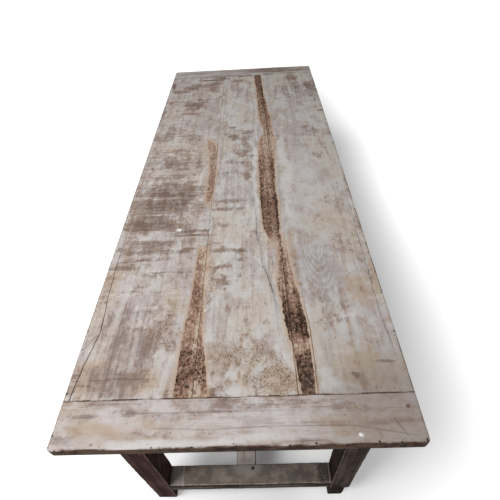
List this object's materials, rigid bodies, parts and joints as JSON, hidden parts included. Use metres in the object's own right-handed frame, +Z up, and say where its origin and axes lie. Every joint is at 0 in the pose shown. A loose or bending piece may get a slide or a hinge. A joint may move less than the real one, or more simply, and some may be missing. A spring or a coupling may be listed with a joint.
{
  "type": "refectory table",
  "caption": "Long refectory table: planked top between breadboard ends, on square legs joined by pegged rails, low end stretchers and a long centre stretcher.",
  "frame": {"origin": "on the floor under the middle of the top", "axes": "+X across the table to the right, +Y along it from the front end to the rear, +Z up"},
  "size_m": [0.76, 2, 0.76],
  "materials": {
    "scrubbed_top": "scrubbed, bleached and stained, matt",
    "dark_leg": "old dark stain, worn at the arrises",
    "worn_stretcher": "foot-worn, grey-brown, matt",
    "peg_wood": "end grain, oiled",
    "raw_wood": "unfinished, sawn",
    "iron": "rusted dark"
  },
  "bodies": {
    "root": {"bearer_nails": "iron", "breadboard_end_front": "scrubbed_top", "breadboard_end_rear": "scrubbed_top", "breadboard_pegs_front": "peg_wood", "breadboard_pegs_rear": "peg_wood", "button_screws": "iron", "centre_stretcher": "worn_stretcher", "cross_bearer_front": "raw_wood", "cross_bearer_rear": "raw_wood", "end_rail_front": "dark_leg", "end_rail_rear": "dark_leg", "end_stretcher_front": "worn_stretcher", "end_stretcher_rear": "worn_stretcher", "joint_tongue_left": "raw_wood", "joint_tongue_right": "raw_wood", "leg_front_left": "dark_leg", "leg_front_right": "dark_leg", "leg_rear_left": "dark_leg", "leg_rear_right": "dark_leg", "rail_pegs": "peg_wood", "side_rail_left": "dark_leg", "side_rail_right": "dark_leg", "stretcher_nails": "iron", "stretcher_pegs": "peg_wood", "top_board_left": "scrubbed_top", "top_board_middle": "scrubbed_top", "top_board_right": "scrubbed_top", "top_buttons": "raw_wood"}
  },
  "joints": []
}
